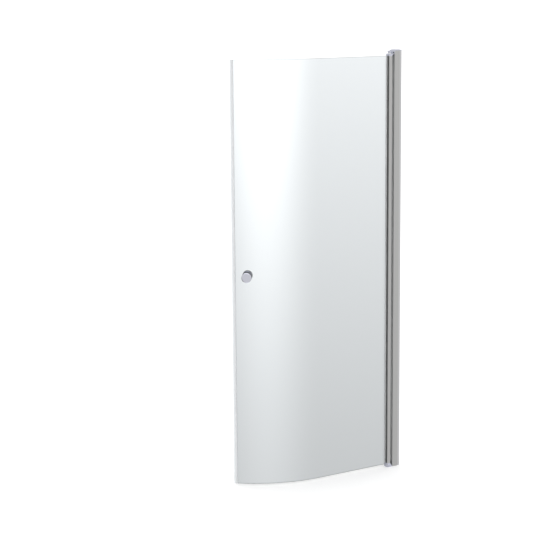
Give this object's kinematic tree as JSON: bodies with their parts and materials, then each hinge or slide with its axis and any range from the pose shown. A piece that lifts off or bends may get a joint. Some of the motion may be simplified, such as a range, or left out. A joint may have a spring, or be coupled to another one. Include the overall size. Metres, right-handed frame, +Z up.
{
  "type": "pivot shower door",
  "caption": "Curved glass shower door in a slim aluminium stile that pivots on a telescopic wall profile and swings both ways, with a round through-glass knob.",
  "frame": {"origin": "foot of the wall profile, on the wall face, midway between the profile's room face and shower face", "axes": "+X into the wall that the door hangs on, so the closed door reaches towards -X; -Y is the room side and +Y the shower side; +Z up"},
  "size_m": [0.831, 0.1784, 2],
  "materials": {
    "satin_aluminium": "satin anodised, fine lengthwise extrusion grain",
    "cool_grey_plastic": "fine-textured moulded plastic, cool light grey",
    "clear_glass": "clear toughened glass, polished, ground edges",
    "clear_vinyl": "soft translucent vinyl",
    "polished_chrome": "polished chrome plate",
    "stainless_steel": "bright turned stainless steel",
    "black_steel": "black oxide",
    "bearing_plastic": "natural white low-friction plastic"
  },
  "bodies": {
    "wall_side": {"wall_channel": "satin_aluminium", "adjusting_screws": "stainless_steel", "adjusting_screw_covers": "cool_grey_plastic", "top_cap": "cool_grey_plastic"},
    "post": {"post_profile": "satin_aluminium", "top_bearing_bracket": "cool_grey_plastic", "top_bracket_cover": "cool_grey_plastic", "top_pivot_pin": "stainless_steel", "top_lock_screw": "black_steel", "bottom_bearing_bracket": "cool_grey_plastic", "bottom_pivot_pin": "stainless_steel", "thrust_washer": "bearing_plastic", "bracket_screws": "stainless_steel"},
    "door": {"stile_profile": "satin_aluminium", "top_stile_plug": "cool_grey_plastic", "bottom_stile_plug": "cool_grey_plastic", "top_pivot_bush": "bearing_plastic", "bottom_pivot_bush": "bearing_plastic", "plug_screws": "stainless_steel", "glass_pane": "clear_glass", "outer_glazing_gasket": "clear_vinyl", "inner_glazing_gasket": "clear_vinyl", "hinge_seal": "clear_vinyl", "leading_edge_seal": "clear_vinyl", "outer_knob": "polished_chrome", "inner_knob": "polished_chrome", "knob_stud": "stainless_steel", "outer_knob_washer": "clear_vinyl", "inner_knob_washer": "clear_vinyl", "knob_sleeve": "bearing_plastic", "knob_set_screw": "stainless_steel"}
  },
  "joints": [
    {"name": "width_adjustment", "type": "slide", "parent": "wall_side", "child": "post", "axis": [-1, 0, 0], "range_m": [-0.006, 0.006]},
    {"name": "door_swing", "type": "hinge", "parent": "post", "child": "door", "pos_m": [-0.062, -0.008, 0], "axis": [0, 0, 1], "range_deg": [-80, 90]}
  ]
}
